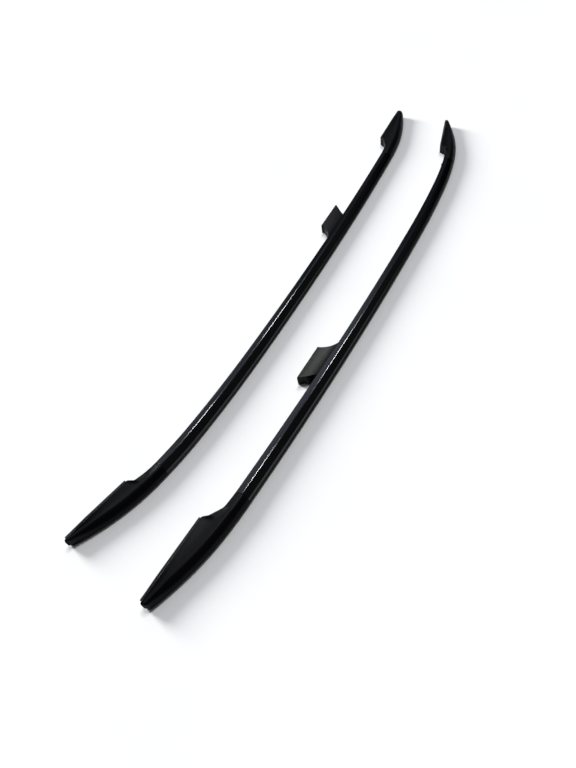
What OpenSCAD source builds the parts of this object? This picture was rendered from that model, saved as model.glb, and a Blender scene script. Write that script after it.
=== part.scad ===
// Pair of raised roof rails for a car, lying on their inboard sides.
// One rail is drawn in its own plane: X is up from the roof, Y runs from the rear tip
// to the front tip, and Z is the outboard side. The second rail is its mirror image.

/* [Rail] */
// Straight distance from the rear tip to the front tip
rail_length = 1755; // [1705:5:1805]
// Distance from the rear tip to the crown, the highest point of the arch
crown_at = 572; // [550:2:600]
// Height of the crown over the line through the tips
crown_height = 124.5; // [121:0.5:128]
// Radius of the top edge behind the crown
rear_main_radius = 3700; // [3500:10:4000]
// Radius of the top edge ahead of the crown
front_main_radius = 11590; // [10600:10:12600]
// Distance from the rear tip to where the rear bend starts
rear_bend_from_tip = 341; // [332:1:350]
// Radius of the rear bend
rear_bend_radius = 1215; // [1150:5:1300]
// Distance from the rear tip to where the top edge curves down over the foot
rear_nose_from_tip = 196; // [188:1:202]
// Radius of the top edge over the rear foot
rear_nose_radius = 500; // [486:2:520]
// Radius of the top edge between the front joint and the foot
front_bend_radius = 1250; // [1150:5:1350]
// Distance from the front tip to where the top edge curves down over the foot
front_nose_from_tip = 197; // [189:1:205]
// Radius of the top edge over the front foot
front_nose_radius = 670; // [646:4:720]

/* [Bar section] */
// Height of the bar, from its underside to its top edge
bar_height = 32; // [30:0.5:34]
// Width of the bar, from the inboard face to the crease
bar_width = 26; // [24:0.5:28]
// Wall of the extruded bar
bar_wall = 2.4; // [1.8:0.1:3]
// Height of the crease over the underside
crease_height = 14; // [12.5:0.5:15.5]
// How far the face under the crease leans in at the underside
crease_lean = 2.5; // [1.5:0.1:3.5]
// Radius of the inboard corner under the bar
under_radius = 3; // [2:0.1:4]
// Radius of the inboard corner on top of the bar
top_radius = 6; // [4.5:0.1:7.5]
// Part of its ellipse that the curved outboard face takes, in degrees
crown_sweep = 72; // [68:1:76]

/* [Rear foot] */
// Height of the base at the rear tip
rear_base_height = 3.8; // [2.6:0.1:5]
// Slope of the rear base, in degrees
rear_base_slope = 12.4; // [12:0.1:12.8]
// Length of the rear base, from the tip to its heel
rear_base_length = 168; // [163:1:171]
// Distance from the rear tip to the joint between the bar and the rear cover
rear_joint_from_tip = 222; // [217:1:230]
// How high the steep heel of the rear foot rises from its base
rear_heel_rise = 14; // [12:0.5:16]
// How far the heel of the rear foot leans towards the bar
rear_heel_lean = 11; // [9:0.5:13]
// Distance along the rail from the heel of the rear foot to where its shoulder meets the bar
rear_shoulder_run = 24; // [22:0.5:26]

/* [Centre foot] */
// Distance from the rear tip to the middle of the centre base
centre_at = 1128; // [1100:1:1150]
// Height of the middle of the centre base
centre_base_height = 42.5; // [41:0.5:44]
// Slope of the centre base, in degrees
centre_base_slope = 2.2; // [1.8:0.1:2.6]
// Length of the centre base
centre_base_length = 102; // [98:1:108]
// How far the top of the centre foot leans towards the rear
centre_lean = 29; // [26:0.5:32]
// Length of the centre foot where it meets the bar
centre_top_length = 106; // [102:1:110]
// How far the inboard side of the centre foot spreads forward at the bar
centre_front_spread = 24; // [18:1:28]
// How far the inboard side of the centre foot spreads back at the bar
centre_rear_spread = 15; // [10:1:20]

/* [Front foot] */
// Height of the base at the front tip
front_base_height = 3.8; // [2.6:0.1:5]
// Slope of the front base, in degrees
front_base_slope = 4.3; // [3.9:0.1:4.7]
// Length of the front base, from the tip to its heel
front_base_length = 193; // [189:1:197]
// Distance from the front tip to the joint between the bar and the front cover
front_joint_from_tip = 267; // [261:1:273]
// How high the steep heel of the front foot rises from its base
front_heel_rise = 12; // [10:0.5:14]
// How far the heel of the front foot leans towards the bar
front_heel_lean = 9.5; // [8:0.5:11]
// Distance along the rail from the heel of the front foot to where its shoulder meets the bar
front_shoulder_run = 32.5; // [30:0.5:35]

/* [Feet] */
// Wall of the moulded covers
cover_wall = 2.4; // [2:0.1:2.8]
// How far the outboard face of a foot flares out at its base
foot_flare = 5; // [4:0.5:6]
// Thickness of the rubber gaskets
gasket_thickness = 3; // [2:0.1:4]
// How far the centre gaskets reach past their feet
gasket_lip = 1.6; // [1:0.1:2.2]
// How far the other gaskets stop short of the heels
gasket_stop = 3; // [2:0.5:4]
// Length of the rounding between a base and its heel
heel_rounding = 5; // [4:0.5:6]
// Length of the rounding where a shoulder meets the bar
shoulder_rounding = 7; // [5:0.5:8]
// Thickness of the cast base plates
plate_thickness = 5; // [4:0.5:6]
// Thickness of the cast webs
web_thickness = 8; // [6:0.5:10]
// Length of a bracket's spigot inside the bar
spigot_length = 34; // [28:1:40]
// Width of a foot at its tip
tip_width = 25.5; // [24:0.5:26.5]
// Radius of the rounded tip of a foot
nose_radius = 8; // [7:0.25:8.75]

/* [Fasteners] */
// Outer diameter of the threaded inserts
insert_diameter = 10.5; // [9.5:0.1:11.5]
// Tapping bore of the threaded inserts
insert_bore = 6.8; // [5:0.1:7.4]
// Length of the threaded inserts
insert_length = 12; // [10:0.5:13]
// Diameter of the bosses round the inserts
boss_diameter = 14; // [13.5:0.5:15]
// Distance from an end foot's tip to its outer insert
outer_insert_at = 66; // [60:1:72]
// Distance from an end foot's tip to its inner insert
inner_insert_at = 136; // [130:1:142]
// Shank diameter of the screws
screw_diameter = 5; // [4:0.1:5.5]
// Head diameter of the screws
screw_head = 9; // [8:0.5:10]
// Height of the screw heads
screw_head_height = 3; // [2.5:0.1:3.5]
// Width across the flats of the screws' hexagon sockets
screw_socket = 4; // [3:0.1:4.5]
// Distance from a joint to the screw that holds the spigot
end_screw_at = 17; // [12:1:22]
// Distance between the two screws of the centre foot
centre_screw_pitch = 48; // [44:1:52]

/* [Clearances] */
// Gap at the joint between the bar and a cover
joint_gap = 0.3; // [0.2:0.05:0.5]
// Clearance round nested pieces
fit = 0.3; // [0.2:0.05:0.4]
// Clearance round screws and inserts in their holes
hole_fit = 0.1; // [0.05:0.05:0.2]

/* [Layout] */
// Distance across between the near tips of the two rails
pair_gap = 224; // [206:1:261]
// How far the second rail lies behind the first
pair_offset = 29; // [0:1:65]
// Angle between the two rails as they lie, in degrees
pair_angle = 1.44; // [0.4:0.04:1.8]

/* [Hidden] */
$fn = 48;
bend_fn = 1800;
gloss_black = [0.03, 0.03, 0.04];
satin_black = [0.07, 0.07, 0.08];
cast_grey = [0.55, 0.56, 0.57];
rubber_black = [0.12, 0.12, 0.12];
plated_yellow = [0.72, 0.62, 0.36];
screw_grey = [0.35, 0.35, 0.37];

// Top edge: arcs on each side of the crown, as radius and length along the rail
front_arcs = [
    [front_main_radius, rail_length - front_joint_from_tip - crown_at],
    [front_bend_radius, front_joint_from_tip - front_nose_from_tip],
    [front_nose_radius, front_nose_from_tip]
];
rear_arcs = [
    [rear_main_radius, crown_at - rear_bend_from_tip],
    [rear_bend_radius, rear_bend_from_tip - rear_nose_from_tip],
    [rear_nose_radius, rear_nose_from_tip]
];
function length_before(arcs, k) = k == 0 ? 0 : length_before(arcs, k - 1) + arcs[k - 1][1];
function sine_before(arcs, k) = k == 0 ? 0
    : sine_before(arcs, k - 1) + arcs[k - 1][1] / arcs[k - 1][0];
function cosine_before(arcs, k) = sqrt(1 - pow(sine_before(arcs, k), 2));
function height_before(arcs, k) = k == 0 ? crown_height : height_before(arcs, k - 1)
    + arcs[k - 1][0] * (cosine_before(arcs, k) - cosine_before(arcs, k - 1));

function side_of(s) = s < crown_at ? -1 : 1;
function arcs_of(s) = s < crown_at ? rear_arcs : front_arcs;
function reach(s) = abs(s - crown_at);
function arc_index(s) = reach(s) < length_before(arcs_of(s), 1) ? 0
    : reach(s) < length_before(arcs_of(s), 2) ? 1 : 2;
function radius_at(s) = arcs_of(s)[arc_index(s)][0];
function sine_at(s) = sine_before(arcs_of(s), arc_index(s))
    + (reach(s) - length_before(arcs_of(s), arc_index(s))) / radius_at(s);
// Angle of the outward normal at a place along the rail, positive towards the front
function slope(s) = side_of(s) * asin(sine_at(s));
function arc_centre(s) = [
    height_before(arcs_of(s), arc_index(s)) - radius_at(s) * cosine_before(arcs_of(s), arc_index(s)),
    s - radius_at(s) * sin(slope(s))
];
// Point at a depth under the top edge
function under(s, depth) = arc_centre(s) + (radius_at(s) - depth) * [cos(slope(s)), sin(slope(s))];

rear_joint = rear_joint_from_tip;
front_joint = rail_length - front_joint_from_tip;
bend_breaks = [
    rear_nose_from_tip, rear_bend_from_tip, crown_at,
    rail_length - front_joint_from_tip, rail_length - front_nose_from_tip
];
function stretch_ends(from, to) =
    concat([from], [for (b = bend_breaks) if (b > from && b < to) b], [to]);
// Slope at a place, worked out on the arc that holds another place
function slope_on(held, s) = side_of(held)
    * asin(sine_at(held) + (side_of(held) * (s - crown_at) - reach(held)) / radius_at(held));
function on_arc(held, s) = arc_centre(held)
    + radius_at(held) * [cos(slope_on(held, s)), sin(slope_on(held, s))];

// Bar along the top edge, drawn in by a margin and hollow where it has a wall. Every second arc is
// finer by a hair and runs into its neighbours, so the arcs join without faces that nearly coincide
arc_hair = 0.03;
arc_lap = 0.6;
module along_bend(from, to, margin, wall = 0) {
    ends = stretch_ends(from, to);
    for (k = [0 : len(ends) - 2]) {
        finer = k % 2;
        middle = (ends[k] + ends[k + 1]) / 2;
        radius = radius_at(middle);
        first = ends[k] - finer * arc_lap;
        start = slope_on(middle, first);
        turn = slope_on(middle, ends[k + 1] + finer * arc_lap) - start;
        translate(concat(on_arc(middle, first), [0])) rotate([0, 0, start])
            translate([-radius, 0, 0]) rotate_extrude(angle = turn, $fn = bend_fn)
                translate([radius - bar_height, 0]) difference() {
                    polygon(section(margin + finer * arc_hair));
                    if (wall > 0) polygon(section(margin + wall - finer * arc_hair));
                }
    }
}

// Section of the bar, with X up from the underside and Y towards the outboard side
ellipse_wide = (bar_width - top_radius) / sin(crown_sweep);
ellipse_from = (crease_height - cos(crown_sweep) * bar_height) / (1 - cos(crown_sweep));
ellipse_high = bar_height - ellipse_from;
crown_steps = 9;
corner_steps = 3;
flank_steps = 4;
function arc_points(centre, radii, from, to, steps) = [
    for (k = [0 : steps]) let (a = from + (to - from) * k / steps)
        centre + [radii[0] * cos(a), radii[1] * sin(a)]
];
// Points between the underside and the crease, both left out
function flank_points(low, high, steps) =
    steps < 2 ? [] : [for (k = [1 : steps - 1]) low + (high - low) * k / steps];
function section(inset, steps = 1) =
    let (low = max(under_radius - inset, 0.8))
    let (high = max(top_radius - inset, 1.2))
    let (flank_low = [inset + 1, bar_width - crease_lean - inset])
    let (flank_high = [crease_height, bar_width - inset])
    concat(
        arc_points([inset + low, inset + low], [low, low], -90, -180, corner_steps),
        [[inset, flank_low[1] - 1]],
        [flank_low],
        flank_points(flank_low, flank_high, steps),
        arc_points([ellipse_from, top_radius], [ellipse_high - inset, ellipse_wide - inset],
            crown_sweep, 0, crown_steps),
        arc_points([bar_height - inset - high, inset + high], [high, high], -20, -90, corner_steps)
    );

// Places of the fasteners
fastener_z = (bar_width - crease_lean) / 2;
end_screws = [rear_joint + end_screw_at, front_joint - end_screw_at];
centre_top_at = centre_at - centre_lean;
centre_insert_along = -centre_lean / 2;
centre_screws = [for (side = [-1, 1]) centre_at + centre_insert_along + side * centre_screw_pitch / 2];
// Frame on the underside of the bar, with Z into the bar
module at_underside(s) {
    translate(concat(under(s, bar_height), [fastener_z]))
        rotate([0, 0, slope(s)]) rotate([0, 90, 0]) children();
}

module bar() {
    color(gloss_black) difference() {
        along_bend(rear_joint, front_joint, 0, bar_wall);
        for (s = concat(end_screws, centre_screws))
            at_underside(s) translate([0, 0, -1])
                cylinder(h = bar_wall + 2, d = screw_diameter + 2 * hole_fit);
    }
}

// End feet: both are drawn from their tip, so the front foot is mirrored into place
REAR = 0;
FRONT = 1;
module at_end(end) {
    if (end == REAR) children();
    else translate([0, rail_length, 0]) mirror([0, 1, 0]) children();
}
joint_of = [rear_joint_from_tip, front_joint_from_tip];
base_height_of = [rear_base_height, front_base_height];
base_slope_of = [rear_base_slope, front_base_slope];
base_length_of = [rear_base_length, front_base_length];
heel_of = [[rear_heel_rise, rear_heel_lean], [front_heel_rise, front_heel_lean]];
shoulder_run_of = [rear_shoulder_run, front_shoulder_run];
function end_under(end, s, depth) =
    let (p = under(end == REAR ? s : rail_length - s, depth)) [p[0], end == REAR ? p[1] : rail_length - p[1]];
// Point over an end foot's base: a is the height over the gasket's underside, b the length from the tip
function base_point(end, a, b) = [base_height_of[end], 0]
    + a * [cos(base_slope_of[end]), -sin(base_slope_of[end])]
    + b * [sin(base_slope_of[end]), cos(base_slope_of[end])];
module on_base(end) {
    translate([base_height_of[end], 0, 0]) rotate([0, 0, -base_slope_of[end]]) children();
}

function smooth(t) = let (u = min(max(t, 0), 1)) u * u * (3 - 2 * u);
function bezier(a, b, c, t) = (1 - t) * (1 - t) * a + 2 * t * (1 - t) * b + t * t * c;
// How far the skin of a foot is drawn in at a distance from its tip, to round the tip
function nose_inset(b) = b >= nose_radius ? 0
    : nose_radius - sqrt(nose_radius * nose_radius - pow(nose_radius - b, 2));
function crease_width(end, b) = tip_width + (bar_width - tip_width) * smooth(b / joint_of[end]);
function flare_at(end, b) = foot_flare * (0.5 + 0.5 * smooth(b / outer_insert_at))
    * smooth((joint_of[end] - b) / (joint_of[end] - base_length_of[end]));
function base_width(end, b) = crease_width(end, b) - crease_lean + flare_at(end, b);

// Stations of a foot, each as its lowest point and its distance along the base from the tip
nose_steps = 6;
base_steps = 9;
outer_rounding_steps = 4;
inner_rounding_steps = 2;
heel_top_rounding = 3;
tip_start = 0.4;
open_depth = under_radius + 1;
nose_places = [
    for (k = [0 : nose_steps - 1])
        tip_start + (nose_radius - tip_start) * (1 - cos(90 * k / nose_steps))
];
function base_places(end, from, to) = [for (k = [0 : base_steps]) from + (to - from) * k / base_steps];
function end_low(end, s) = end_under(end, s, bar_height);

// Low edge of an end foot past its base: round the heel, up its steep face, along the straight
// shoulder and into the underside of the bar
function heel(end) = base_point(end, gasket_thickness, base_length_of[end]);
function low_corners(end) = [
    base_point(end, gasket_thickness, base_length_of[end] - heel_rounding),
    heel(end),
    base_point(end, gasket_thickness + heel_of[end][0], base_length_of[end] + heel_of[end][1]),
    end_low(end, heel(end)[1] + shoulder_run_of[end]),
    end_low(end, joint_of[end] - joint_gap)
];
roundings = [heel_rounding, heel_top_rounding, shoulder_rounding];
function direction(from, to) = (to - from) / norm(to - from);
function left_of(v) = [v[1], -v[0]];
// The low edge moved to the inside by a distance, with its corners rounded
function low_path(end, distance, steps) =
    let (path = low_corners(end))
    concat(
        [for (k = [1 : len(roundings)])
            let (back = direction(path[k], path[k - 1]))
            let (on = direction(path[k], path[k + 1]))
            let (corner = path[k] + distance * (left_of(on) - left_of(back)) / (1 - back * on))
            let (from = corner + roundings[k - 1] * back)
            let (to = corner + roundings[k - 1] * on)
                for (step = [0 : steps]) bezier(from, corner, to, step / steps)],
        [path[len(path) - 1] + distance * left_of(direction(path[len(path) - 2], path[len(path) - 1]))]
    );

function outer_stations(end) = concat(
    [for (b = concat(nose_places, base_places(end, nose_radius, base_length_of[end] - 2 * heel_rounding)))
        [base_point(end, gasket_thickness + nose_inset(b), b), b]],
    [for (low = low_path(end, 0, outer_rounding_steps)) [low, joint_of[end]]]
);
function inner_stations(end) = concat(
    [for (b = base_places(end, nose_radius + 2 * cover_wall,
            base_length_of[end] - heel_rounding - 2 * cover_wall))
        [base_point(end, gasket_thickness - open_depth, b), b]],
    [for (low = low_path(end, cover_wall, inner_rounding_steps)) [low, joint_of[end]]],
    [[end_low(end, joint_of[end] + 1) + [cover_wall, 0], joint_of[end]]]
);
// Top point over a low point: the lines fan from upright at the tip to square at the joint
function top_place(end, low) = max(low[1], 0) * joint_of[end] / end_low(end, joint_of[end])[1];

// One ring of a foot's skin, drawn in by a wall, from its low point to the top edge
function foot_ring(end, station, wall) =
    let (low = station[0])
    let (drawn = nose_inset(station[1]) + wall)
    let (top = end_under(end, top_place(end, low), drawn))
    let (tall = norm(top - low))
    let (up = (top - low) / tall)
    let (over_crease = min(bar_height - crease_height, tall / 2) / (bar_height - crease_height))
    let (crease_at = tall - over_crease * (bar_height - crease_height))
    let (corner = under_radius * min(1, tall / bar_height))
    let (wide = (crease_width(end, low[1]) - 2 * drawn) / bar_width)
    [for (p = section(0, flank_steps))
        let (f = min(max((p[0] - under_radius) / (crease_height - under_radius), 0), 1))
        let (height = p[0] >= crease_height ? tall - (bar_height - p[0]) * over_crease
            : corner * min(p[0] / under_radius, 1) + f * (crease_at - corner))
        let (flare = p[1] > bar_width / 2 ? flare_at(end, low[1]) * pow(1 - f, 2) : 0)
        concat(low + height * up, [drawn + p[1] * wide + flare])];

// Closed skin over rings that all have the same number of points: a solid with two caps, or a
// tube whose last ring joins its first
module loft(rings, tube = false) {
    count = len(rings[0]);
    last = len(rings) - 1;
    points = [for (ring = rings) for (p = ring) p];
    sides = [
        for (r = [0 : tube ? last : last - 1]) for (k = [0 : count - 1])
            let (next_k = (k + 1) % count, next_r = (r + 1) % len(rings))
            let (a = r * count + k, b = r * count + next_k)
            let (c = next_r * count + k, d = next_r * count + next_k)
                each [[a, d, b], [a, c, d]]
    ];
    first_cap = [for (k = [0 : count - 1]) k];
    last_cap = [for (k = [count - 1 : -1 : 0]) last * count + k];
    polyhedron(points, tube ? sides : concat([first_cap], sides, [last_cap]), convexity = 6);
}

module end_cover(end) {
    color(satin_black) at_end(end) difference() {
        loft([for (station = outer_stations(end)) foot_ring(end, station, 0)]);
        loft([for (station = inner_stations(end)) foot_ring(end, station, cover_wall)]);
    }
}

// Outline of an end foot's base, drawn in by a margin, with Y across the foot
outline_steps = 8;
function base_outline(end, margin, from, to, trim) = concat(
    [[to, margin]],
    [[from, margin + nose_inset(from)]],
    [for (k = [0 : outline_steps]) let (b = from + (to - from) * k / outline_steps)
        [b, base_width(end, b) - margin - trim - nose_inset(b)]]
);
// Plate on a base, over a height range
module slab(from, thickness) {
    translate([from, 0, 0]) rotate([90, 0, 90]) linear_extrude(thickness) children();
}
// Upright hole or post on a base
module post(from, height, diameter, along) {
    translate([from, along, fastener_z]) rotate([0, 90, 0]) cylinder(h = height, d = diameter);
}

end_inserts = [outer_insert_at, inner_insert_at];
gasket_from = nose_radius * 0.7;
module end_gasket(end) {
    color(rubber_black) at_end(end) on_base(end) difference() {
        slab(0, gasket_thickness)
            polygon(base_outline(end, 0, gasket_from, base_length_of[end] - gasket_stop, 0));
        for (b = end_inserts) post(-1, gasket_thickness + 2, insert_diameter, b);
    }
}

plate_margin = cover_wall + fit;
plate_trim = foot_flare * 0.4;
web_depth = bar_height / 4;
function web_top(end) = [
    for (k = [0 : 6]) let (s = outer_insert_at + (joint_of[end] - outer_insert_at) * k / 6)
        end_under(end, s, web_depth)
];
module end_bracket(end) {
    base = base_length_of[end];
    plate_top = gasket_thickness + plate_thickness;
    low = low_path(end, web_clear, inner_rounding_steps);
    color(cast_grey) at_end(end) difference() {
        union() {
            on_base(end) {
                slab(gasket_thickness, plate_thickness)
                    polygon(base_outline(end, plate_margin, nose_radius * 3,
                        base - 4 * cover_wall, plate_trim));
                for (b = end_inserts) post(gasket_thickness, insert_length + 2, boss_diameter, b);
            }
            translate([0, 0, fastener_z - web_thickness / 2]) linear_extrude(web_thickness)
                polygon(concat(
                    [base_point(end, plate_top - 1, base - 4 * cover_wall)],
                    [base_point(end, plate_top - 1, outer_insert_at)],
                    web_top(end),
                    [end_under(end, joint_of[end] + web_root, web_depth)],
                    [end_under(end, joint_of[end] + web_root, bar_height - spigot_inset - 1)],
                    [end_under(end, joint_of[end], bar_height - spigot_inset - 1)],
                    [for (k = [len(low) - 1 : -1 : 0]) low[k]]
                ));
            end_spigot(end);
        }
        on_base(end) for (b = end_inserts)
            post(gasket_thickness - 1, insert_length + 1 + hole_fit, insert_diameter + 2 * hole_fit, b);
        at_end(end) at_underside(end_screws[end]) translate([0, 0, bar_wall - 1])
            cylinder(h = end_screw_length + 1, d = screw_diameter + 2 * hole_fit);
    }
}
spigot_inset = max(bar_wall, cover_wall) + fit;
web_root = 6;
web_clear = 2 * cover_wall + fit;
end_screw_length = bar_height / 2;
module end_spigot(end) {
    at_end(end) along_bend(
        end == REAR ? rear_joint : front_joint - spigot_length,
        end == REAR ? rear_joint + spigot_length : front_joint,
        spigot_inset
    );
}

// Centre foot: leans towards the rear as it rises to the bar
module on_centre_base() {
    translate([centre_base_height, centre_at, 0]) rotate([0, 0, centre_base_slope]) children();
}
function centre_point(a, b) = [centre_base_height, centre_at]
    + a * [cos(centre_base_slope), sin(centre_base_slope)]
    + b * [-sin(centre_base_slope), cos(centre_base_slope)];
seat_gap = 0.25;
centre_rear_low = centre_point(gasket_thickness, -centre_base_length / 2);
centre_front_low = centre_point(gasket_thickness, centre_base_length / 2);
centre_rear_top = under(centre_top_at - centre_top_length / 2, bar_height + seat_gap);
centre_front_top = under(centre_top_at + centre_top_length / 2, bar_height + seat_gap);
centre_rear_bend = centre_rear_top + [-0.25, 0.45] * norm(centre_rear_top - centre_rear_low);
centre_steps = 7;
centre_corner = 4;
function centre_width(v) = bar_width - crease_lean + foot_flare * pow(1 - v, 2);
// One level of the centre foot, between its base at 0 and the bar at 1
function centre_ring(v, inset) =
    let (rear = bezier(centre_rear_low, centre_rear_bend, centre_rear_top, v))
    let (front = centre_front_low + (centre_front_top - centre_front_low) * v)
    let (along = (front - rear) / norm(front - rear))
    let (long = norm(front - rear))
    let (r = max(centre_corner - inset, 1))
    let (corners = [
        [[long - inset - r, centre_width(v) - inset - r], 90],
        [[inset + r, centre_width(v) - inset - r], 180],
        [[inset + r - v * v * centre_rear_spread, inset + r], 270],
        [[long - inset - r + v * v * centre_front_spread, inset + r], 360]
    ])
    [for (c = corners) for (q = arc_points(c[0], [r, r], c[1] - 90, c[1], corner_steps))
        concat(rear + q[0] * along, [q[1]])];
module centre_cover() {
    color(satin_black) loft(concat(
        [for (k = [0 : centre_steps]) centre_ring(k / centre_steps, 0)],
        [for (k = [centre_steps : -1 : 0]) centre_ring(k / centre_steps, cover_wall)]
    ), tube = true);
}
module centre_gasket() {
    half_length = centre_base_length / 2 + gasket_lip;
    color(rubber_black) on_centre_base() difference() {
        slab(0, gasket_thickness) centre_outline(half_length, 0, centre_width(0));
        post(-1, gasket_thickness + 2, insert_diameter, centre_insert_along);
        for (s = centre_screws) post(-1, gasket_thickness + 2, screw_head + 2, s - centre_at);
    }
}
// Rounded rectangle about the middle of the centre base
module centre_outline(half_length, from, to) {
    r = centre_corner;
    polygon(concat(
        arc_points([half_length - r, to - r], [r, r], 0, 90, corner_steps),
        arc_points([r - half_length, to - r], [r, r], 90, 180, corner_steps),
        arc_points([r - half_length, from + r], [r, r], 180, 270, corner_steps),
        arc_points([half_length - r, from + r], [r, r], 270, 360, corner_steps)
    ));
}

column_width = bar_width - crease_lean - 2 * plate_margin;
column_reach = screw_head;
centre_screw_grip = 12;
centre_screw_past = 3;
module centre_bracket() {
    plate_reach = (centre_base_length - plate_thickness) / 2 - plate_margin;
    plate_top = gasket_thickness + plate_thickness;
    ends = [centre_screws[0] - column_reach, centre_screws[1] + column_reach];
    color(cast_grey) difference() {
        union() {
            on_centre_base() translate([0, -plate_thickness / 2, 0])
                slab(gasket_thickness, plate_thickness)
                    centre_outline(plate_reach, plate_margin, centre_width(0) - plate_margin - plate_trim);
            translate([0, 0, plate_margin]) linear_extrude(column_width) polygon([
                centre_point(plate_top - 1, ends[0] - centre_at),
                centre_point(plate_top - 1, ends[1] - centre_at),
                under(ends[1], bar_height + seat_gap),
                under(ends[0] - centre_lean / 4, bar_height + seat_gap)
            ]);
        }
        on_centre_base() post(gasket_thickness - 1, insert_length + 1 + hole_fit,
            insert_diameter + 2 * hole_fit, centre_insert_along);
        for (s = centre_screws) at_underside(s) {
            translate([0, 0, -centre_base_height])
                cylinder(h = centre_base_height, d = screw_diameter + 2 * hole_fit);
            translate([0, 0, -centre_base_height])
                cylinder(h = centre_base_height - centre_screw_grip - seat_gap, d = screw_head + 2 * fit);
        }
    }
}

// Threaded inserts, flush with the base plates
module insert(along) {
    difference() {
        post(gasket_thickness, insert_length, insert_diameter, along);
        post(gasket_thickness - 1, insert_length + 2, insert_bore, along);
    }
}
module inserts() {
    color(plated_yellow) {
        for (end = [REAR, FRONT]) at_end(end) on_base(end) for (b = end_inserts) insert(b);
        on_centre_base() insert(centre_insert_along);
    }
}

// Socket screws: the end ones hold the spigots, the centre ones hold the bracket to the bar
module screw(seat, length) {
    socket_depth = screw_head_height * 0.6;
    translate([0, 0, seat]) difference() {
        union() {
            translate([0, 0, -screw_head_height]) cylinder(h = screw_head_height, d = screw_head);
            cylinder(h = length, d = screw_diameter);
        }
        translate([0, 0, -screw_head_height - 1])
            cylinder(h = socket_depth + 1, d = screw_socket / cos(30), $fn = 6);
    }
}
module screws() {
    color(screw_grey) {
        for (s = end_screws) at_underside(s) screw(-hole_fit, end_screw_length);
        for (s = centre_screws) at_underside(s)
            screw(-seat_gap - centre_screw_grip, seat_gap + centre_screw_grip + bar_wall + centre_screw_past);
    }
}

// Layout: the left rail lies with its rear tip near, the right one with its front tip near
half_angle = pair_angle / 2;
function left_place(p) = [
    p[0] * cos(half_angle) + p[1] * sin(half_angle),
    p[1] * cos(half_angle) - p[0] * sin(half_angle)
];
function right_place(p) = [
    pair_gap + p[0] * cos(half_angle) - (rail_length - p[1]) * sin(half_angle),
    -pair_offset + p[0] * sin(half_angle) + (rail_length - p[1]) * cos(half_angle)
];
function tip_points(end) = [
    for (station = outer_stations(end)) for (p = foot_ring(end, station, 0))
        [p[0], end == REAR ? p[1] : rail_length - p[1]]
];
edge_left = left_place(base_point(REAR, 0, gasket_from))[0];
edge_right = max([for (s = [0 : 10 : rail_length]) right_place(under(s, 0))[0]]);
edge_near = min([for (p = tip_points(FRONT)) right_place(p)[1]]);
edge_far = max(concat(
    [for (p = tip_points(FRONT)) left_place(p)[1]],
    [for (p = tip_points(REAR)) right_place(p)[1]]
));
middle = [(edge_left + edge_right) / 2, (edge_near + edge_far) / 2];
module left() {
    translate([-middle[0], -middle[1], 0]) rotate([0, 0, -half_angle]) children();
}
module right() {
    translate([pair_gap - middle[0], -pair_offset - middle[1], 0]) rotate([0, 0, half_angle])
        translate([0, rail_length, 0]) mirror([0, 1, 0]) children();
}

left() bar();  // left_bar
left() end_cover(REAR);  // left_rear_cover
left() centre_cover();  // left_centre_cover
left() end_cover(FRONT);  // left_front_cover
left() end_bracket(REAR);  // left_rear_bracket
left() centre_bracket();  // left_centre_bracket
left() end_bracket(FRONT);  // left_front_bracket
left() end_gasket(REAR);  // left_rear_gasket
left() centre_gasket();  // left_centre_gasket
left() end_gasket(FRONT);  // left_front_gasket
left() inserts();  // left_inserts
left() screws();  // left_screws
right() bar();  // right_bar
right() end_cover(REAR);  // right_rear_cover
right() centre_cover();  // right_centre_cover
right() end_cover(FRONT);  // right_front_cover
right() end_bracket(REAR);  // right_rear_bracket
right() centre_bracket();  // right_centre_bracket
right() end_bracket(FRONT);  // right_front_bracket
right() end_gasket(REAR);  // right_rear_gasket
right() centre_gasket();  // right_centre_gasket
right() end_gasket(FRONT);  // right_front_gasket
right() inserts();  // right_inserts
right() screws();  // right_screws
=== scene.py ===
"""Looks of the pair of roof rails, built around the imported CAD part.

The shape code works in mm, in each rail's own frame: height over the roof, distance from the
rear tip, and width to the outboard side, which is up as the pair lies.
"""

import bpy
import bmesh
import math
from mathutils import Matrix, Vector


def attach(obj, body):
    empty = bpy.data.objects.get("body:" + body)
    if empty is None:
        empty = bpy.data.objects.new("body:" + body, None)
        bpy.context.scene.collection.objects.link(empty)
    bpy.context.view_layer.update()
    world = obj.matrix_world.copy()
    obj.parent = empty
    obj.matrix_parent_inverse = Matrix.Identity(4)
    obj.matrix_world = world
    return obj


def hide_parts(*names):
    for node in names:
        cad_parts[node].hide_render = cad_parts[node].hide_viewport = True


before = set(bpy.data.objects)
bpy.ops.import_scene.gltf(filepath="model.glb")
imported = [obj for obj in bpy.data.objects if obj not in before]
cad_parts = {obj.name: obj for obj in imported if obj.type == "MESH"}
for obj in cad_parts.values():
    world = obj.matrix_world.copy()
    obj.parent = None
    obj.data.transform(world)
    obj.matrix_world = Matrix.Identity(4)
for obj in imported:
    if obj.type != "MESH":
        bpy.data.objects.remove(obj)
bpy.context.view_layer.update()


MM = 0.001

# ---------------------------------------------------------------- sizes, as in the part's source
RAIL_LENGTH = 1755.0
CROWN_AT = 572.0
CROWN_HEIGHT = 124.5
REAR_ARCS = [(3700.0, 231.0), (1215.0, 145.0), (500.0, 196.0)]  # radius, and run along the rail
FRONT_ARCS = [(11590.0, 916.0), (1250.0, 70.0), (670.0, 197.0)]
PAIR_GAP = 224.0
PAIR_OFFSET = 29.0
PAIR_MIDDLE = (169.805, 862.931)  # where the pair's middle is before it is moved to the origin
HALF_ANGLE = math.radians(0.72)

BAR_HEIGHT = 32.0
BAR_WIDTH = 26.0
BAR_WALL = 2.4
CREASE_HEIGHT = 14.0
CREASE_LEAN = 2.5
UNDER_RADIUS = 3.0
TOP_RADIUS = 6.0
CROWN_SWEEP = 72.0

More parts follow.
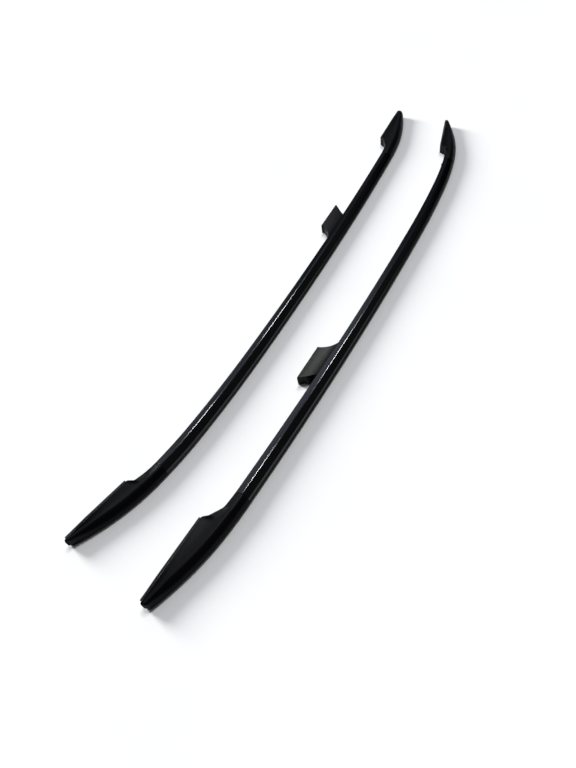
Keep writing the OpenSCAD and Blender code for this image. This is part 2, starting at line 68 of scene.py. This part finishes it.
REAR, FRONT = 0, 1
END_NAMES = ("rear", "front")
JOINT = (222.0, 267.0)
JOINT_GAP = 0.3
BASE_HEIGHT = (3.8, 3.8)
BASE_SLOPE = (math.radians(12.4), math.radians(4.3))
BASE_LENGTH = (168.0, 193.0)
HEEL = ((14.0, 11.0), (12.0, 9.5))  # rise and run of the heel's face
SHOULDER_RUN = (24.0, 32.5)
ROUNDINGS = (5.0, 3.0, 7.0)  # below and above the heel's face, and at the shoulder's end
TIP_WIDTH = 25.5
NOSE_RADIUS = 8.0
NOSE_POWER = 3.0
COVER_WALL = 2.4
FOOT_FLARE = 5.0

CENTRE_AT = 1128.0
CENTRE_HEIGHT = 42.5
CENTRE_SLOPE = math.radians(2.2)
CENTRE_LENGTH = 102.0
CENTRE_TOP_LENGTH = 106.0
CENTRE_LEAN = 29.0
CENTRE_CORNER = 4.0
FRONT_SPREAD = 24.0
REAR_SPREAD = 15.0
SEAT_GAP = 0.25

GASKET = 3.0
GASKET_LIP = 1.6
GASKET_STOP = 3.0
INSERTS_AT = (66.0, 136.0)
INSERT_DIAMETER = 10.5
INSERT_CLEARANCE = 0.3
SCREW_HEAD = 9.0
SCREW_PITCH = 48.0
SCREW_CLEARANCE = 1.2

# ---------------------------------------------------------------- finish of the visible meshes
LIP_STEP = 0.3
LIP_ROUNDING = 1.2
UNDERSIDE_AT = (9.0, 16.0)
FLANK_SAG = 0.22
FLANK_STEPS = 7
CREASE_ROUNDING = 8.5
CROWN_STEPS = 22
CROWN_FROM = 4  # steps of the crown that the rounded crease takes up
BACK_AT = (20.0, 12.0, 7.0)
SOFT_REACH = 4.5
SOFT_FROM, SOFT_OVER = 12.0, 8.0  # width where the soft section starts, and the run to its full
FADE_FROM, FADE_STOP = 30.0, 20.0  # distances from the tip and from the joint of a fading crease
BAR_STEPS = 150
BAR_END = ((0.0, 0.45), (0.2, 0.12), (0.6, 0.0))  # distance from the end, and inset there
COVER_END = 0.35
UPPER_SIDE = 20.0  # faces of a cover over this height face up
NOSE_STEPS = 12
NOSE_CROWDING = 2.2
NOSE_START = 0.01
BASE_STEPS = 30
HEEL_LEAD = 1.0
CENTRE_STEPS = 28
CENTRE_EDGE = 0.9
REAR_BOW = (-0.25, 0.45)
GASKET_EDGE = 0.5
GASKET_NOSE = 0.7  # where an end gasket starts, as a share of the nose radius
GASKET_CORNER = 0.6
GASKET_STEPS = 12
HOLE_SIDES = 24


# ---------------------------------------------------------------- curves
def arc(centre, radii, start, end, steps):
    points = []
    for k in range(steps + 1):
        a = math.radians(start + (end - start) * k / steps)
        points.append((centre[0] + radii[0] * math.cos(a), centre[1] + radii[1] * math.sin(a)))
    return points


def smooth(t):
    u = min(max(t, 0.0), 1.0)
    return u * u * (3 - 2 * u)


def bezier(a, b, c, t):
    return a * (1 - t) ** 2 + b * (2 * t * (1 - t)) + c * t ** 2


def rounded(before, corner, after, radius, steps):
    """Points of a corner that is rounded to about a radius."""
    b, c, a = Vector(before), Vector(corner), Vector(after)
    to_b, to_a = (b - c).normalized(), (a - c).normalized()
    half = math.acos(max(-1.0, min(1.0, to_b.dot(to_a)))) / 2
    cut = radius / math.tan(half)
    return [tuple(bezier(c + to_b * cut, c, c + to_a * cut, k / steps)) for k in range(steps + 1)]


# ---------------------------------------------------------------- top edge of a rail
def arc_state(s):
    """Centre height, centre distance, radius and slope of the top edge at a place on the rail."""
    side, arcs = (-1, REAR_ARCS) if s < CROWN_AT else (1, FRONT_ARCS)
    reach = abs(s - CROWN_AT)
    sine, height = 0.0, CROWN_HEIGHT
    for k, (radius, length) in enumerate(arcs):
        cosine = math.sqrt(1 - sine * sine)
        if reach <= length or k == len(arcs) - 1:
            slope = side * math.asin(sine + reach / radius)
            return height - radius * cosine, s - radius * math.sin(slope), radius, slope
        sine += length / radius
        height += radius * (math.sqrt(1 - sine * sine) - cosine)
        reach -= length


def under(s, depth):
    """The place at a depth square to the top edge, as (height, distance along)."""
    height, along, radius, slope = arc_state(s)
    reach = radius - depth
    return Vector((height + reach * math.cos(slope), along + reach * math.sin(slope)))


# ---------------------------------------------------------------- section of the bar
def fine_section():
    """The bar's section as (height over the underside, width), with its edges rounded."""
    wide = (BAR_WIDTH - TOP_RADIUS) / math.sin(math.radians(CROWN_SWEEP))
    cosine = math.cos(math.radians(CROWN_SWEEP))
    low = (CREASE_HEIGHT - cosine * BAR_HEIGHT) / (1 - cosine)
    crown = arc((low, TOP_RADIUS), (BAR_HEIGHT - low, wide), CROWN_SWEEP, 0, CROWN_STEPS)
    crease = (CREASE_HEIGHT, BAR_WIDTH)
    lip = (0.0, BAR_WIDTH - CREASE_LEAN - LIP_STEP)
    points = arc((UNDER_RADIUS, UNDER_RADIUS), (UNDER_RADIUS, UNDER_RADIUS), -90, -180, 6)
    points += [(0.0, z) for z in UNDERSIDE_AT]
    points += rounded(points[-1], lip, crease, LIP_ROUNDING, 5)
    for k in range(1, FLANK_STEPS):
        t = k / FLANK_STEPS
        sag = -FLANK_SAG * math.sin(math.pi * t)
        points.append((lip[0] + (crease[0] - lip[0]) * t, lip[1] + (crease[1] - lip[1]) * t + sag))
    points += rounded(points[-1], crease, crown[CROWN_FROM - 1], CREASE_ROUNDING, 12)
    points += crown[CROWN_FROM:]
    points += arc((BAR_HEIGHT - TOP_RADIUS, TOP_RADIUS), (TOP_RADIUS, TOP_RADIUS), -10, -90, 8)
    return points + [(x, 0.0) for x in BACK_AT]


def softened(points, reach):
    """The same points with the edges smoothed over a reach, for the feet, whose crease fades."""
    closed = [Vector(p) for p in points]
    lengths = [(closed[k] - closed[k - 1]).length for k in range(len(closed))]
    at = [sum(lengths[1:k + 1]) for k in range(len(closed))]
    around = sum(lengths)
    out = []
    for k, p in enumerate(closed):
        total, weight = Vector((0.0, 0.0)), 0.0
        for j, q in enumerate(closed):
            gap = abs(at[j] - at[k])
            gap = min(gap, around - gap)
            share = math.exp(-(gap / reach) ** 2) * (lengths[j] + lengths[(j + 1) % len(closed)])
            total += q * share
            weight += share
        held = smooth((p[1] - SOFT_FROM) / SOFT_OVER)
        out.append(tuple(p * (1 - held) + total / weight * held))
    return out


def inset_section(margin):
    """The section drawn in by a margin, point by point."""
    count = len(SECTION)
    out = []
    for k in range(count):
        a, b, c = (Vector(SECTION[(k + d) % count]) for d in (-1, 0, 1))
        e, f = b - a, c - b
        normal = Vector((e[1], -e[0])).normalized() + Vector((f[1], -f[0])).normalized()
        out.append(tuple(b + normal.normalized() * margin))
    return out


SECTION = fine_section()
SOFT_SECTION = softened(SECTION, SOFT_REACH)


# ---------------------------------------------------------------- a rail's own frame to the row's
def place_left(p):
    return Vector((
        p[0] * math.cos(HALF_ANGLE) + p[1] * math.sin(HALF_ANGLE) - PAIR_MIDDLE[0],
        p[1] * math.cos(HALF_ANGLE) - p[0] * math.sin(HALF_ANGLE) - PAIR_MIDDLE[1],
        p[2])) * MM


def place_right(p):
    """The right rail is the left one's mirror image, and lies flipped end for end."""
    back = RAIL_LENGTH - p[1]
    return Vector((
        PAIR_GAP + p[0] * math.cos(HALF_ANGLE) - back * math.sin(HALF_ANGLE) - PAIR_MIDDLE[0],
        -PAIR_OFFSET + p[0] * math.sin(HALF_ANGLE) + back * math.cos(HALF_ANGLE) - PAIR_MIDDLE[1],
        p[2])) * MM


RAILS = {"left": place_left, "right": place_right}


# ---------------------------------------------------------------- mesh helpers
def quad(first, second, k, count):
    """The face between two rings of points, from point k to the next."""
    j = (k + 1) % count
    return (first * count + k, first * count + j, second * count + j, second * count + k)


def new_object(name, verts, faces, mat):
    mesh = bpy.data.meshes.new(name)
    mesh.from_pydata([tuple(v) for v in verts], [], faces)
    mesh.validate()
    mesh.update()
    obj = bpy.data.objects.new(name, mesh)
    bpy.context.scene.collection.objects.link(obj)
    bm = bmesh.new()
    bm.from_mesh(mesh)
    bmesh.ops.remove_doubles(bm, verts=bm.verts, dist=1e-6)
    bmesh.ops.recalc_face_normals(bm, faces=bm.faces)
    bm.to_mesh(mesh)
    bm.free()
    mesh.materials.append(mat)
    return obj


def ring_object(name, rings, mat):
    """A closed wall: rings of points joined in turn, and the last one to the first."""
    rows, count = len(rings), len(rings[0])
    faces = [quad(r, (r + 1) % rows, k, count) for r in range(rows) for k in range(count)]
    return new_object(name, [p for ring in rings for p in ring], faces, mat)


def shade(obj, angle):
    """Smooth shading with weighted normals, sharp over an angle."""
    mesh = obj.data
    for poly in mesh.polygons:
        poly.use_smooth = True
    bm = bmesh.new()
    bm.from_mesh(mesh)
    for edge in bm.edges:
        bent = edge.calc_face_angle(0) > math.radians(angle)
        edge.smooth = not (len(edge.link_faces) == 2 and bent)
    bm.to_mesh(mesh)
    bm.free()
    weighted = obj.modifiers.new("weighted", "WEIGHTED_NORMAL")
    weighted.keep_sharp = True
    weighted.weight = 60
    return obj


# ---------------------------------------------------------------- bar
def make_bar(side, mat):
    first, last = JOINT[REAR], RAIL_LENGTH - JOINT[FRONT]
    lead = BAR_END[-1][0]
    run = last - first - 2 * lead
    places = [first + gap for gap, _ in BAR_END]
    places += [first + lead + run * k / BAR_STEPS for k in range(1, BAR_STEPS)]
    places += [last - gap for gap, _ in reversed(BAR_END)]

    def ring_at(s, section):
        ring = []
        for x, z in section:
            p = under(s, BAR_HEIGHT - x)
            ring.append(RAILS[side]((p[0], p[1], z)))
        return ring

    inner = inset_section(BAR_WALL)
    outer_rings, inner_rings = [], []
    for n, s in enumerate(places):
        drawn = BAR_END[min(n, len(places) - 1 - n, len(BAR_END) - 1)][1]
        outer_rings.append(ring_at(s, inset_section(drawn) if drawn else SECTION))
        inner_rings.append(ring_at(s, inner))
    return shade(ring_object(side + "_bar_skin", outer_rings + inner_rings[::-1], mat), 50)


# ---------------------------------------------------------------- end feet
# A foot is worked out from its own tip, and at_end turns its points to the rail's frame.
def at_end(end, p):
    return p if end == REAR else (p[0], RAIL_LENGTH - p[1], p[2])


def end_under(end, s, depth):
    p = under(s if end == REAR else RAIL_LENGTH - s, depth)
    return Vector((p[0], p[1] if end == REAR else RAIL_LENGTH - p[1]))


def base_point(end, a, b):
    """The place a over the roof and b along it from the tip. The roof slants under the foot."""
    slope = BASE_SLOPE[end]
    return Vector((
        BASE_HEIGHT[end] + a * math.cos(slope) + b * math.sin(slope),
        -a * math.sin(slope) + b * math.cos(slope)))


def nose_inset(b):
    """How far the rounded tip is drawn in from the foot's outline."""
    if b >= NOSE_RADIUS:
        return 0.0
    return NOSE_RADIUS * (1 - (1 - (1 - b / NOSE_RADIUS) ** NOSE_POWER) ** (1 / NOSE_POWER))


def crease_width(end, b):
    return TIP_WIDTH + (BAR_WIDTH - TIP_WIDTH) * smooth(b / JOINT[end])


def flare_at(end, b):
    rise = 0.5 + 0.5 * smooth(b / INSERTS_AT[0])
    return FOOT_FLARE * rise * smooth((JOINT[end] - b) / (JOINT[end] - BASE_LENGTH[end]))


def base_width(end, b):
    return crease_width(end, b) - CREASE_LEAN + flare_at(end, b)


def low_path(end, steps):
    """Low edge past the base: round the heel, up its face, along the shoulder and into the bar."""
    heel = base_point(end, GASKET, BASE_LENGTH[end])
    path = [
        base_point(end, GASKET, BASE_LENGTH[end] - ROUNDINGS[0]),
        heel,
        base_point(end, GASKET + HEEL[end][0], BASE_LENGTH[end] + HEEL[end][1]),
        end_under(end, heel[1] + SHOULDER_RUN[end], BAR_HEIGHT),
        end_under(end, JOINT[end] - JOINT_GAP, BAR_HEIGHT),
    ]
    out = []
    for k, rounding in enumerate(ROUNDINGS, 1):
        start = path[k] + (path[k - 1] - path[k]).normalized() * rounding
        stop = path[k] + (path[k + 1] - path[k]).normalized() * rounding
        out += [bezier(start, path[k], stop, step / steps) for step in range(steps + 1)]
    return out + [out[-1] + (path[-1] - out[-1]) * t for t in (0.4, 0.8, 0.97, 1.0)]


def stations(end):
    """Stations of a foot: lowest point, distance along the base, and whether the base is open."""
    shares = [(k / NOSE_STEPS) ** NOSE_CROWDING for k in range(NOSE_STEPS)]
    nose = [NOSE_RADIUS * share + NOSE_START for share in shares]
    long = BASE_LENGTH[end] - ROUNDINGS[0] - HEEL_LEAD - NOSE_RADIUS
    base = [NOSE_RADIUS + long * k / BASE_STEPS for k in range(BASE_STEPS + 1)]
    solid = NOSE_RADIUS + 2 * COVER_WALL
    out = [(base_point(end, GASKET + nose_inset(b), b), b, b > solid) for b in nose + base]
    return out + [(low, JOINT[end], False) for low in low_path(end, 6)]


def end_ring(end, low, b, extra):
    """The foot's section from a lowest point to the top edge, drawn in at the tip and by extra."""
    drawn = nose_inset(b) + extra
    top_at = max(low[1], 0.0) * JOINT[end] / end_under(end, JOINT[end], BAR_HEIGHT)[1]
    top = end_under(end, top_at, drawn)
    tall = (top - low).length
    up = (top - low) / tall
    over = min(BAR_HEIGHT - CREASE_HEIGHT, tall / 2) / (BAR_HEIGHT - CREASE_HEIGHT)
    crease_at = tall - over * (BAR_HEIGHT - CREASE_HEIGHT)
    corner = UNDER_RADIUS * min(1.0, tall / BAR_HEIGHT)
    wide = (crease_width(end, low[1]) - 2 * drawn) / BAR_WIDTH
    soft = 1 - smooth((low[1] - FADE_FROM) / (JOINT[end] - FADE_FROM - FADE_STOP))
    ring = []
    for (x, z), (soft_x, soft_z) in zip(SECTION, SOFT_SECTION):
        x, z = x + (soft_x - x) * soft, z + (soft_z - z) * soft
        f = min(max((x - UNDER_RADIUS) / (CREASE_HEIGHT - UNDER_RADIUS), 0.0), 1.0)
        if x >= CREASE_HEIGHT:
            height = tall - (BAR_HEIGHT - x) * over
        else:
            height = corner * min(x / UNDER_RADIUS, 1.0) + f * (crease_at - corner)
        flare = flare_at(end, low[1]) * (1 - f) ** 2 if z > BAR_WIDTH / 2 else 0.0
        p = low + up * height
        ring.append((p[0], p[1], drawn + z * wide + flare))
    return ring


def make_end_cover(side, end, mat):
    rows = stations(end)
    count = len(SECTION)
    verts = []
    for r, (low, b, _) in enumerate(rows):
        ring = end_ring(end, low, b, COVER_END if r == len(rows) - 1 else 0.0)
        verts += [RAILS[side](at_end(end, p)) for p in ring]
    underside = [max(SECTION[k][0], SECTION[(k + 1) % count][0]) < 0.01 for k in range(count)]
    faces = [quad(r, r + 1, k, count) for r in range(len(rows) - 1) for k in range(count)
             if not (rows[r + 1][2] and underside[k])]
    faces.append(tuple(range(count)))
    obj = new_object("%s_%s_cover_skin" % (side, END_NAMES[end]), verts, faces, mat)
    # The wall is built inward, so the open shell's normals have to point out.
    upper = [poly for poly in obj.data.polygons if poly.center.z > UPPER_SIDE * MM]
    if sum(poly.normal.z * poly.area for poly in upper) < 0:
        obj.data.flip_normals()
    wall = obj.modifiers.new("wall", "SOLIDIFY")
    wall.thickness = COVER_WALL * MM
    wall.offset = -1
    wall.use_even_offset = False
    return shade(obj, 45)


# ---------------------------------------------------------------- centre foot
def centre_point(a, b):
    """The place a over the roof and b along it from the middle of the centre foot."""
    c, s = math.cos(CENTRE_SLOPE), math.sin(CENTRE_SLOPE)
    return Vector((CENTRE_HEIGHT + a * c - b * s, CENTRE_AT + a * s + b * c))


def centre_width(v):
    return BAR_WIDTH - CREASE_LEAN + FOOT_FLARE * (1 - v) ** 2


REAR_LOW = centre_point(GASKET, -CENTRE_LENGTH / 2)
FRONT_LOW = centre_point(GASKET, CENTRE_LENGTH / 2)
TOP_AT = CENTRE_AT - CENTRE_LEAN
REAR_TOP = under(TOP_AT - CENTRE_TOP_LENGTH / 2, BAR_HEIGHT + SEAT_GAP)
FRONT_TOP = under(TOP_AT + CENTRE_TOP_LENGTH / 2, BAR_HEIGHT + SEAT_GAP)
REAR_BEND = REAR_TOP + Vector(REAR_BOW) * (REAR_TOP - REAR_LOW).length


def centre_ring(v, inset):
    """The centre foot's section at a share of its height. Its outboard edges are sharper."""
    rear = bezier(REAR_LOW, REAR_BEND, REAR_TOP, v)
    front = FRONT_LOW + (FRONT_TOP - FRONT_LOW) * v
    long = (front - rear).length
    along = (front - rear) / long
    wide = centre_width(v) - inset
    corners = (
        (long - inset, wide, CENTRE_EDGE, (-1, -1), 0),
        (inset, wide, CENTRE_EDGE, (1, -1), 90),
        (inset - v * v * REAR_SPREAD, inset, CENTRE_CORNER, (1, 1), 180),
        (long - inset + v * v * FRONT_SPREAD, inset, CENTRE_CORNER, (-1, 1), 270),
    )
    ring = []
    for q, z, radius, (dq, dz), start in corners:
        middle = (q + dq * radius, z + dz * radius)
        for pq, pz in arc(middle, (radius, radius), start, start + 90, 6):
            p = rear + along * pq
            ring.append((p[0], p[1], pz))
    return ring


def make_centre_cover(side, mat):
    rings = [centre_ring(k / CENTRE_STEPS, 0.0) for k in range(CENTRE_STEPS + 1)]
    rings += [centre_ring(k / CENTRE_STEPS, COVER_WALL) for k in range(CENTRE_STEPS, -1, -1)]
    rings = [[RAILS[side](p) for p in ring] for ring in rings]
    return shade(ring_object(side + "_centre_cover_skin", rings, mat), 45)


# ---------------------------------------------------------------- gaskets
def plate_mesh(name, outline, holes, to_row, mat):
    """A gasket with rounded edges and round holes. Outline points are (along, across)."""
    curve = bpy.data.curves.new(name, "CURVE")
    curve.dimensions = "2D"
    curve.fill_mode = "BOTH"
    curve.extrude = GASKET / 2 - GASKET_EDGE
    curve.bevel_depth = GASKET_EDGE
    curve.bevel_resolution = 2
    curve.offset = -GASKET_EDGE
    loops = [outline]
    for centre, radius in holes:
        loops.append(arc(centre, (radius, radius), 0, 360 - 360 / HOLE_SIDES, HOLE_SIDES - 1))
    for loop in loops:
        spline = curve.splines.new("POLY")
        spline.points.add(len(loop) - 1)
        spline.use_cyclic_u = True
        for point, (u, v) in zip(spline.points, loop):
            point.co = (u, v, 0.0, 1.0)
    source = bpy.data.objects.new(name, curve)
    bpy.context.scene.collection.objects.link(source)
    bpy.context.view_layer.update()
    depsgraph = bpy.context.evaluated_depsgraph_get()
    mesh = bpy.data.meshes.new_from_object(source.evaluated_get(depsgraph))
    bpy.data.objects.remove(source)
    verts = [to_row(v.co[2] + GASKET / 2, v.co[0], v.co[1]) for v in mesh.vertices]
    faces = [tuple(poly.vertices) for poly in mesh.polygons]
    bpy.data.meshes.remove(mesh)
    return shade(new_object(name, verts, faces, mat), 35)


HOLES_AT = (BAR_WIDTH - CREASE_LEAN) / 2
INSERT_HOLE = INSERT_DIAMETER / 2 + INSERT_CLEARANCE
SCREW_HOLE = SCREW_HEAD / 2 + SCREW_CLEARANCE


def make_end_gasket(side, end, mat):
    start, stop = NOSE_RADIUS * GASKET_NOSE, BASE_LENGTH[end] - GASKET_STOP
    outline = []
    for k in range(GASKET_STEPS + 1):
        b = start + (stop - start) * k / GASKET_STEPS
        outline.append((b, base_width(end, b) - nose_inset(b)))
    outline += [(stop, GASKET_CORNER), (stop - GASKET_CORNER, 0.0), (start, nose_inset(start))]
    holes = [((b, HOLES_AT), INSERT_HOLE) for b in INSERTS_AT]

    def to_row(a, b, across):
        p = base_point(end, a, b)
        return RAILS[side](at_end(end, (p[0], p[1], across)))

    return plate_mesh("%s_%s_gasket_skin" % (side, END_NAMES[end]), outline, holes, to_row, mat)


def make_centre_gasket(side, mat):
    half = CENTRE_LENGTH / 2 + GASKET_LIP
    wide = centre_width(0)
    r = CENTRE_CORNER
    outline = []
    for (q, z, start) in ((half, wide, 0), (-half, wide, 90), (-half, 0, 180), (half, 0, 270)):
        dq, dz = (-1 if q > 0 else 1), (-1 if z > 0 else 1)
        outline += arc((q + dq * r, z + dz * r), (r, r), start, start + 90, 5)
    insert_at = -CENTRE_LEAN / 2
    holes = [((insert_at, HOLES_AT), INSERT_HOLE)]
    holes += [((insert_at + k * SCREW_PITCH / 2, HOLES_AT), SCREW_HOLE) for k in (-1, 1)]

    def to_row(a, b, across):
        p = centre_point(a, b)
        return RAILS[side]((p[0], p[1], across))

    return plate_mesh(side + "_centre_gasket_skin", outline, holes, to_row, mat)


# ---------------------------------------------------------------- materials
class Nodes:
    """A short hand for the nodes that feed a material's or the world's shader."""

    def __init__(self, owner, shader):
        owner.use_nodes = True
        self.owner = owner
        self.tree = owner.node_tree
        self.shader = self.tree.nodes[shader]
        self.coords = self.new("TexCoord").outputs

    def new(self, kind):
        return self.tree.nodes.new("ShaderNode" + kind)

    def put(self, key, value, node=None):
        """Set an input of the shader, or of a given node, to a number, a colour or an output."""
        socket = (node or self.shader).inputs[key]
        if isinstance(value, (int, float)):
            socket.default_value = value
        elif isinstance(value, tuple):
            socket.default_value = (*value, 1)
        else:
            self.tree.links.new(value, socket)

    def noise(self, scale, detail, rough=0.5, stretch=None):
        node = self.new("TexNoise")
        for key, value in (("Scale", scale), ("Detail", detail), ("Roughness", rough)):
            self.put(key, value, node)
        source = self.coords["Object"]
        if stretch:
            mapping = self.new("Mapping")
            mapping.inputs["Scale"].default_value = stretch
            self.put("Vector", source, mapping)
            source = mapping.outputs["Vector"]
        self.put("Vector", source, node)
        return node.outputs["Fac"]

    def ramp(self, source, low, high, out_low, out_high):
        node = self.new("MapRange")
        node.interpolation_type = "SMOOTHSTEP"
        keys = ("Value", "From Min", "From Max", "To Min", "To Max")
        for key, value in zip(keys, (source, low, high, out_low, out_high)):
            self.put(key, value, node)
        return node.outputs["Result"]

    def mix(self, factor, first, second):
        node = self.new("Mix")
        node.data_type = "RGBA"
        for key, value in (("Factor", factor), ("A", first), ("B", second)):
            self.put(key, value, node)
        return node.outputs["Result"]

    def math(self, kind, first, second):
        node = self.new("Math")
        node.operation = kind
        for k, value in enumerate((first, second)):
            self.put(k, value, node)
        return node.outputs[0]

    def bump(self, height, strength, distance):
        node = self.new("Bump")
        for key, value in (("Height", height), ("Strength", strength), ("Distance", distance)):
            self.put(key, value, node)
        self.put("Normal", node.outputs["Normal"])

    def tint(self, source, low, high, first, second):
        """Base colour that goes from one colour to another as the source goes from low to high."""
        self.put("Base Color", self.mix(self.ramp(source, low, high, 0, 1), first, second))

    def painted_shade_at_grazing(self, low, high, facing, grazing):
        """Less gloss where the surface turns away from the eye: painted shade, the specular level
        lowered by view angle so the grazing sides don't reflect the floor.
        """
        weight = self.new("LayerWeight")
        self.put("Blend", 0.5, weight)
        level = self.ramp(weight.outputs["Facing"], low, high, facing, grazing)
        self.put("Specular IOR Level", level)


def material(name):
    return Nodes(bpy.data.materials.new(name), "Principled BSDF")


def gloss_paint():
    m = material("gloss_black_paint")
    broad = m.noise(9, 3)
    m.tint(broad, 0.35, 0.65, (0.0006, 0.0008, 0.0016), (0.0009, 0.0011, 0.0022))
    m.put("Roughness", m.ramp(broad, 0.3, 0.7, 0.1, 0.13))
    m.put("IOR", 1.5)
    # Painted shade: gloss taken off at grazing angles, where the floor's reflection would show on
    # the crown.
    m.painted_shade_at_grazing(0.3, 0.46, 0.5, 0.02)
    waves = m.math("MULTIPLY", m.noise(160, 1), 0.6)
    specks = m.math("MULTIPLY", m.noise(900, 2), 0.2)
    m.bump(m.math("ADD", waves, specks), 0.12, 0.0004)
    return m.owner


def satin_plastic():
    m = material("satin_black_plastic")
    grain = m.noise(1500, 3, 0.6)
    m.tint(m.noise(14, 3), 0.35, 0.65, (0.001, 0.0011, 0.0018), (0.0016, 0.0017, 0.0026))
    m.put("Roughness", m.ramp(grain, 0.35, 0.65, 0.27, 0.34))
    m.put("IOR", 1.38)
    # Painted shade: gloss taken off at grazing angles, where the floor's reflection would show on
    # the feet.
    m.painted_shade_at_grazing(0.28, 0.5, 0.17, 0.05)
    m.bump(grain, 0.35, 0.00025)
    return m.owner


def rubber():
    m = material("gasket_rubber")
    grain = m.noise(700, 3)
    m.tint(grain, 0.3, 0.7, (0.008, 0.008, 0.008), (0.014, 0.014, 0.013))
    m.put("Roughness", m.ramp(grain, 0.3, 0.7, 0.62, 0.8))
    m.put("IOR", 1.4)
    m.bump(grain, 0.3, 0.0003)
    return m.owner


def metal(name, grain, colours, roughness, bump=None):
    m = material(name)
    source = m.noise(*grain)
    m.tint(source, 0.3, 0.7, *colours)
    m.put("Metallic", 1.0)
    m.put("Roughness", m.ramp(source, 0.3, 0.7, *roughness))
    if bump:
        m.bump(source, *bump)
    return m.owner


def floor_white():
    m = material("floor_white")
    m.tint(m.noise(3, 4), 0.3, 0.7, (0.93, 0.93, 0.93), (0.95, 0.95, 0.95))
    m.put("Roughness", 0.9)
    m.put("IOR", 1.1)
    return m.owner


# ---------------------------------------------------------------- pieces
PAINT, PLASTIC, RUBBER = gloss_paint(), satin_plastic(), rubber()
ALUMINIUM = metal("cast_aluminium", (420, 4, 0.6),
                  ((0.4, 0.41, 0.42), (0.55, 0.56, 0.57)), (0.45, 0.62), (0.5, 0.0004))
BRASS = metal("turned_brass", (60, 1, 0.5, (30, 30, 3)),
              ((0.62, 0.47, 0.2), (0.72, 0.58, 0.3)), (0.25, 0.4))
STEEL = metal("plated_steel", (300, 2),
              ((0.1, 0.1, 0.11), (0.18, 0.18, 0.19)), (0.3, 0.42))
CAD_MATERIALS = {
    "rear_bracket": ALUMINIUM, "centre_bracket": ALUMINIUM, "front_bracket": ALUMINIUM,
    "inserts": BRASS, "screws": STEEL}


def finish_piece(obj, node):
    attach(obj, "root")
    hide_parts(node)


for side in RAILS:
    finish_piece(make_bar(side, PAINT), side + "_bar")
    for end in (REAR, FRONT):
        foot = "%s_%s" % (side, END_NAMES[end])
        finish_piece(make_end_cover(side, end, PLASTIC), foot + "_cover")
        finish_piece(make_end_gasket(side, end, RUBBER), foot + "_gasket")
    finish_piece(make_centre_cover(side, PLASTIC), side + "_centre_cover")
    finish_piece(make_centre_gasket(side, RUBBER), side + "_centre_gasket")
    for node, mat in CAD_MATERIALS.items():
        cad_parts["%s_%s" % (side, node)].material_slots[0].material = mat

# ---------------------------------------------------------------- floor and camera
bpy.ops.mesh.primitive_plane_add(size=24, location=(0, 0, -0.0002))
floor = bpy.context.object
floor.name = "floor"
floor.data.materials.append(floor_white())

# The camera as fitted to the photograph: its place, and the directions to the right, up and back.
CAMERA_AT = (0.58152, -0.95169, 1.0174)
CAMERA_AXES = (
    (0.86802, 0.47294, -0.15122),
    (-0.29619, 0.73764, 0.60676),
    (0.3985, -0.48189, 0.78037))

camera = bpy.data.objects.new("camera", bpy.data.cameras.new("camera"))
bpy.context.scene.collection.objects.link(camera)
bpy.context.scene.camera = camera
camera.data.lens = 25.7875
camera.data.sensor_width = 36
camera.data.shift_x = 0.00045
camera.data.clip_start = 0.05
camera.data.clip_end = 60
camera.matrix_world = Matrix.Translation(CAMERA_AT) @ Matrix(CAMERA_AXES).transposed().to_4x4()

# ---------------------------------------------------------------- light
# The world is dim but for a bright patch at the side, which the rails' flanks reflect.
SKY_FADES = (("X", 0.1, -0.6), ("X", -0.97, -0.6), ("Y", -0.3, 0.25))

world = bpy.data.worlds.new("world")
bpy.context.scene.world = world
sky = Nodes(world, "Background")
split = sky.new("SeparateXYZ")
sky.put("Vector", sky.coords["Generated"], split)
fades = [sky.ramp(split.outputs[axis], low, high, 0, 1) for axis, low, high in SKY_FADES]
patch = sky.math("MULTIPLY", sky.math("MULTIPLY", fades[0], fades[1]), fades[2])
sky.put("Color", sky.mix(patch, (0.08, 0.08, 0.082), (0.74, 0.79, 0.95)))


def sun(name, direction, strength, degrees):
    """A sun lamp that shines from a direction, and is this many degrees wide."""
    lamp = bpy.data.lights.new(name, "SUN")
    lamp.energy = strength
    lamp.angle = math.radians(degrees)
    obj = bpy.data.objects.new(name, lamp)
    bpy.context.scene.collection.objects.link(obj)
    obj.location = direction
    obj.rotation_euler = (-Vector(direction)).to_track_quat("-Z", "Y").to_euler()


# One lamp casts the soft shadow. The other two give the two highlights on each crease.
sun("shadow_light", (-0.93, 0.12, 0.3137), 5.15, 21)
sun("near_window", (-0.087, 0.558, 0.826), 0.72, 5.8)
sun("far_window", (-0.099, 0.325, 0.941), 0.62, 4)

bpy.context.scene.view_settings.view_transform = "Standard"
